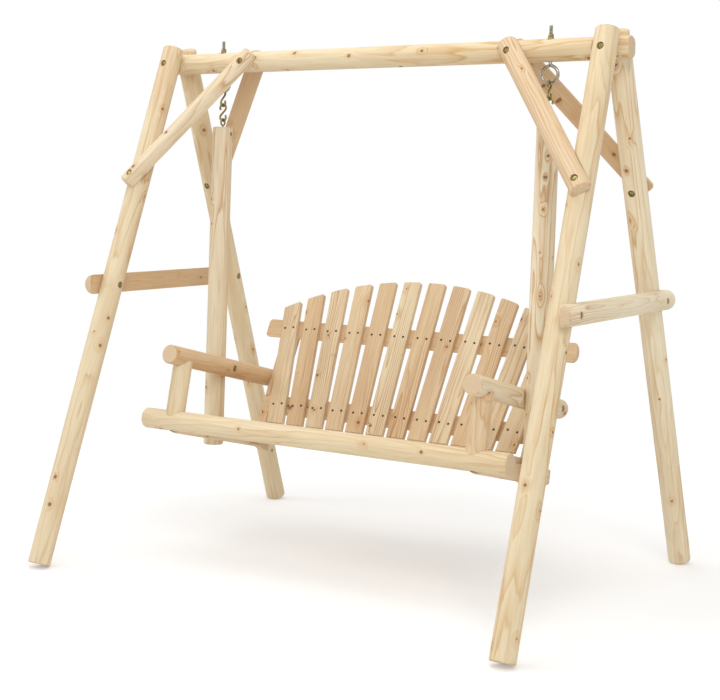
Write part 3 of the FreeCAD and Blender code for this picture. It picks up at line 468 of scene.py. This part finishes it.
BOLT_RADIUS, BOLT_CORE, BOLT_TIP = 0.005, 0.0044, 0.0009
THREAD_STEP, RIDGE_RADIUS = 0.0015, 0.00093
BOLT_THREAD, BOLT_THREAD_RADIUS, BOLT_THREAD_END = 0.026, 0.0042, 0.0016

SCREW_HEAD_RADIUS, SCREW_HEAD_DEPTH, SCREW_HEAD_LAP = 0.004, 0.003, 0.0002
SCREW_RADIUS, SCREW_TIP = 0.002, 0.0015
RECESS_RADIUS, RECESS_DEPTH, RECESS_ABOVE, RECESS_SHARE = 0.0023, 0.0016, 0.001, 0.3

BOLT_BODIES = {"frame_bolts": "frame", "crossbar_bolts": "frame", "brace_bolts": "frame",
               "bench_bolts": "bench", "post_foot_bolts": "bench", "support_bolts": "bench"}
# body of each group of nuts, and the bolts that carry them
NUT_BODIES = {"frame_nuts": ("frame", ("frame_bolts", "crossbar_bolts", "brace_bolts")),
              "bench_nuts": ("bench", ("bench_bolts", "post_foot_bolts"))}


def six_sided(name, low, high, turn_low, turn_high):
    """Hexagonal head or nut whose corners are turned down at one end or both."""
    corner = HEX_ACROSS / math.sqrt(3)
    put_down()
    bpy.ops.mesh.primitive_cylinder_add(vertices=6, radius=corner, depth=high - low,
                                        location=(0, 0, (low + high) / 2))
    blank = settle(name)
    round_stock = bar("round_stock", 36, corner * 0.999, low + (HEX_TURNED if turn_low else 0),
                      high - (HEX_TURNED if turn_high else 0))
    for end, wanted in ((-1, turn_low), (1, turn_high)):
        if wanted:
            open_faces(round_stock, lambda face: face.normal.z * end > 0.9)
            bpy.ops.mesh.extrude_region_move(TRANSFORM_OT_translate={"value": (0, 0, end * HEX_TURNED)})
            bpy.ops.transform.resize(value=(HEX_DRAWN_IN, HEX_DRAWN_IN, 1))
    carve(blank, round_stock, "INTERSECT")
    return blank


def thread(radius, low, high):
    """Ridge of a screw thread wound round the Z axis."""
    put_down()
    bpy.ops.mesh.primitive_circle_add(vertices=3, radius=RIDGE_RADIUS, location=(radius, 0, low),
                                      rotation=(math.pi / 2, math.pi / 2, 0))
    ridge = settle("ridge")
    winding = ridge.modifiers.new("winding", "SCREW")
    winding.steps = winding.render_steps = 14
    winding.screw_offset = THREAD_STEP
    winding.iterations = int((high - low) / THREAD_STEP)
    bpy.ops.object.modifier_apply(modifier="winding")
    close_up(ridge)
    return ridge


def bolt(name, length):
    """Bolt with its head on the origin and its shank along Z."""
    head = six_sided("head", 0.0, HEAD_HEIGHT, True, False)
    shank = bar("shank", 18, BOLT_CORE, HEAD_HEIGHT - HEAD_LAP, length, BOLT_TIP)
    ridge = thread(BOLT_THREAD_RADIUS, length - BOLT_THREAD, length - BOLT_THREAD_END)
    return weld(name, head, shank, ridge)


def nut(name):
    blank = six_sided(name, -NUT_HEIGHT / 2, NUT_HEIGHT / 2, True, True)
    bore = bar("bore", 24, BOLT_RADIUS + NUT_PLAY, -0.75 * NUT_HEIGHT, 0.75 * NUT_HEIGHT)
    carve(blank, bore, "DIFFERENCE")
    return blank


def slat_screw(name, length):
    """Screw with a flat sunk head on the origin, its point along Z."""
    put_down()
    bpy.ops.mesh.primitive_cone_add(vertices=16, radius1=SCREW_HEAD_RADIUS, radius2=SCREW_RADIUS,
                                    depth=SCREW_HEAD_DEPTH, location=(0, 0, SCREW_HEAD_DEPTH / 2))
    head = settle("head")
    for wide in ((1, RECESS_SHARE, 1), (RECESS_SHARE, 1, 1)):
        arm = bar("recess_arm", 4, RECESS_RADIUS, -RECESS_ABOVE, RECESS_DEPTH)
        take(arm)
        bpy.ops.transform.resize(value=wide, center_override=(0, 0, 0))
        bpy.ops.object.transform_apply(scale=True)
        carve(head, arm, "DIFFERENCE")
    stem = bar("stem", 8, SCREW_RADIUS, SCREW_HEAD_DEPTH - SCREW_HEAD_LAP, length, SCREW_TIP)
    return weld(name, head, stem)


def solids_of(node):
    """Corner points of each separate solid of a group, where solids that touch count as one."""
    mesh = PIECES[node].data
    points = np.empty(len(mesh.vertices) * 3)
    mesh.vertices.foreach_get("co", points)
    corners, spot = np.unique(points.reshape(-1, 3).round(6), axis=0, return_inverse=True)
    faces = spot.ravel()[np.array([face.vertices[:] for face in mesh.polygons])]
    group = np.arange(len(corners))
    while True:
        joined = group.copy()
        np.minimum.at(joined, faces.ravel(), np.repeat(group[faces].min(1), 3))
        joined = joined[joined]
        if (joined == group).all():
            return [corners[group == first] for first in np.unique(group)]
        group = joined


def shafts_of(node):
    """Head end, direction and length of each bolt or screw of a group."""
    shafts = []
    for points in solids_of(node):
        middle = points.mean(0)
        along = np.linalg.svd(points - middle, full_matrices=False)[2][0]
        run = (points - middle) @ along
        wide = np.linalg.norm(points - middle - np.outer(run, along), axis=1)
        if run[wide.argmax()] > 0:
            along, run = -along, -run
        straight = points[run > run.min() + 0.6 * np.ptp(run)].mean(0)
        head = straight + along * (run.min() - (straight - middle) @ along)
        shafts.append((Vector(head), Vector(along), float(np.ptp(run))))
    return shafts


def upright_to(place, along):
    return Matrix.Translation(place) @ along.to_track_quat("Z", "Y").to_matrix().to_4x4()


def set_copies(master, name, places, body, material):
    """A copy of a fastener at each place, joined into the piece that stands for its CAD group."""
    copies = []
    for place in places:
        copy = master.copy()
        copy.data = master.data.copy()
        copy.data.transform(place)
        bpy.context.scene.collection.objects.link(copy)
        copies.append(copy)
    bpy.data.objects.remove(master)
    piece = weld(name + "_fitted", *copies)
    bpy.ops.object.shade_smooth_by_angle(angle=math.radians(32))
    dress(piece, material)
    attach(piece, body)
    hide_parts(name)


def fit_bolts(material):
    """Fit the bolts, then the nuts that they carry."""
    shafts = {name: shafts_of(name) for name in BOLT_BODIES}
    for name, body in BOLT_BODIES.items():
        length = shafts[name][0][2]
        places = [upright_to(*shaft[:2]) for shaft in shafts[name]]
        set_copies(bolt("bolt", length), name, places, body, material)
    for name, (body, carriers) in NUT_BODIES.items():
        lines = [shaft for carrier in carriers for shaft in shafts[carrier]]
        places = []
        for points in solids_of(name):
            middle = Vector((points.min(0) + points.max(0)) / 2)
            along = min(lines, key=lambda shaft: (middle - shaft[0]).cross(shaft[1]).length)[1]
            places.append(upright_to(middle, along))
        set_copies(nut("nut"), name, places, body, material)


def fit_eye_bolt_nuts(material):
    """Two nuts on each eye bolt, which touch in the CAD group."""
    half = Matrix.Translation((0, 0, NUT_HEIGHT / 2))
    places = []
    for points in solids_of("eye_bolt_nuts"):
        meeting = Matrix.Translation((points.min(0) + points.max(0)) / 2)
        places.append(meeting @ half.inverted())
        places.append(meeting @ half @ Matrix.Rotation(LOCKED_TURN, 4, "Z"))
    set_copies(nut("nut"), "eye_bolt_nuts", places, "frame", material)


def fit_screws(material):
    shafts = shafts_of("slat_screws")
    places = [upright_to(*shaft[:2]) @ Matrix.Rotation(SCREW_TURN * count, 4, "Z")
              for count, shaft in enumerate(shafts)]
    set_copies(slat_screw("screw", shafts[0][2]), "slat_screws", places, "bench", material)


# Eye bolts: wire bent into a ring, its end closed against the shank

RING_BEND, NECK_BEND, EYE_WIRE = 0.026, 0.012, 0.005
WIRE_END = math.radians(92)
EYE_THREAD, EYE_THREAD_RADIUS, EYE_THREAD_END = 0.085, 0.0048, 0.0012


def eye_bolt(name, stud):
    """Eye bolt with its ring centred on the origin and its threaded stud up in Z."""
    leave = math.acos(NECK_BEND / (RING_BEND + NECK_BEND))
    neck = Vector((math.cos(leave), 0, math.sin(leave))) * (RING_BEND + NECK_BEND)
    start = Vector((math.cos(WIRE_END), 0, math.sin(WIRE_END))) * RING_BEND
    put_down()
    bpy.ops.mesh.primitive_circle_add(vertices=14, radius=EYE_WIRE, fill_type="NGON", location=start,
                                      rotation=(0, -WIRE_END, 0))
    wire = settle(name)
    bpy.ops.object.mode_set(mode="EDIT")
    bpy.ops.mesh.select_all(action="SELECT")
    bpy.ops.mesh.spin(steps=44, angle=WIRE_END - leave - 2 * math.pi, center=(0, 0, 0), axis=(0, -1, 0))
    bpy.ops.mesh.spin(steps=10, angle=leave, center=neck, axis=(0, -1, 0))
    bpy.ops.mesh.extrude_region_move(TRANSFORM_OT_translate={"value": (0, 0, stud - neck.z)})
    put_down()
    close_up(wire)
    ridge = thread(EYE_THREAD_RADIUS, stud - EYE_THREAD, stud - EYE_THREAD_END)
    return weld(name, wire, ridge)


def fit_eye_bolts(material):
    low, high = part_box("eye_bolts")
    centre = low.z + RING_BEND + EYE_WIRE
    reach = high.x - RING_BEND - EYE_WIRE
    places = [Matrix.Translation((side * reach, 0, centre)) for side in (-1, 1)]
    set_copies(eye_bolt("eye_bolt", high.z - centre), "eye_bolts", places, "frame", material)


# Studio, in metres and watts

FLOOR_SIZE = 60
# the floor takes shadows near the part, and is plain white further off
SHADOWS_NEAR, SHADOWS_FAR = 1.0, 3.0
LAMPS_AIM = Vector((0, 0, 0.9))
# place, size and power
SOFTBOXES = {
    "key_softbox": ((3.0, -3.9, 4.2), 2.2, 90),
    "fill_softbox": ((-4.6, -2.2, 3.2), 2.2, 50),
    "top_softbox": ((-0.4, -0.5, 4.8), 2.6, 58),
}
WHITE, FLOOR_GREY, SOFT_WHITE = (1, 1, 1, 1), (0.93, 0.93, 0.93, 1), (1, 0.99, 0.97, 1)


def seen_by_eye(tree):
    path = lay(tree, "LightPath", {})
    mirrored = sums(tree, "MAXIMUM", path.outputs["Is Glossy Ray"], path.outputs["Is Transmission Ray"])
    return sums(tree, "MAXIMUM", path.outputs["Is Camera Ray"], mirrored)


def studio_floor():
    put_down()
    bpy.ops.mesh.primitive_plane_add(size=FLOOR_SIZE)
    floor = bpy.context.object
    floor.name = "studio_floor"
    material, tree = open_material("studio_floor")
    coords = lay(tree, "TexCoord", {}).outputs["Object"]
    away = arrows(tree, "LENGTH", coords)
    plain = rising(tree, away, SHADOWS_NEAR, SHADOWS_FAR, 0.20, 1.0)
    lift = rising(tree, away, SHADOWS_NEAR, SHADOWS_FAR, 1.6, 1.0)
    matt = lay(tree, "BsdfDiffuse", {"Color": FLOOR_GREY})
    white = lay(tree, "Emission", {"Color": WHITE, "Strength": lift})
    both = lay(tree, "MixShader", {0: sums(tree, "MULTIPLY", seen_by_eye(tree), plain), 1: matt.outputs[0],
                                   2: white.outputs[0]})
    lay(tree, "OutputMaterial", {0: both.outputs[0]})
    floor.data.materials.append(material)


def studio_light():
    world = bpy.data.worlds.new("studio")
    bpy.context.scene.world = world
    world.use_nodes = True
    tree = world.node_tree
    tree.nodes.clear()
    white = lay(tree, "Background", {"Color": WHITE, "Strength": 1.0})
    soft = lay(tree, "Background", {"Color": SOFT_WHITE, "Strength": 0.62})
    both = lay(tree, "MixShader", {0: seen_by_eye(tree), 1: soft.outputs[0], 2: white.outputs[0]})
    lay(tree, "OutputWorld", {0: both.outputs[0]})
    for name, (spot, size, power) in SOFTBOXES.items():
        lamp = bpy.data.lights.new(name, "AREA")
        lamp.size = size
        lamp.energy = power
        stand = bpy.data.objects.new(name, lamp)
        bpy.context.scene.collection.objects.link(stand)
        stand.location = spot
        stand.rotation_euler = (LAMPS_AIM - Vector(spot)).to_track_quat("-Z", "Y").to_euler()


# Putting it together

YELLOW_ZINC = plating("yellow_zinc", (paint(122, 104, 62), paint(164, 148, 98), paint(142, 136, 90),
                                      paint(156, 122, 92)), 0.24, 0.44)
BRIGHT_ZINC = plating("bright_zinc", (paint(142, 138, 128), paint(182, 178, 168), paint(164, 156, 138),
                                      paint(196, 192, 184)), 0.20, 0.36)
DARK_PLATE = plating("dark_plate", (paint(76, 60, 44), paint(98, 80, 60), paint(86, 68, 50),
                                    paint(124, 102, 76)), 0.40, 0.60)
PLATED_NODES = ("upper_hook_left", "upper_hook_right", "lower_hook_left", "lower_hook_right",
                "screw_eyes", "eye_bolt_washers")

photographer()
dress_wood()
for node_name in PLATED_NODES:
    dress(PIECES[node_name], YELLOW_ZINC)
fit_bolts(YELLOW_ZINC)
fit_eye_bolt_nuts(YELLOW_ZINC)
fit_screws(DARK_PLATE)
fit_eye_bolts(BRIGHT_ZINC)
studio_floor()
studio_light()
bpy.context.scene.view_settings.view_transform = "Standard"

put_down()
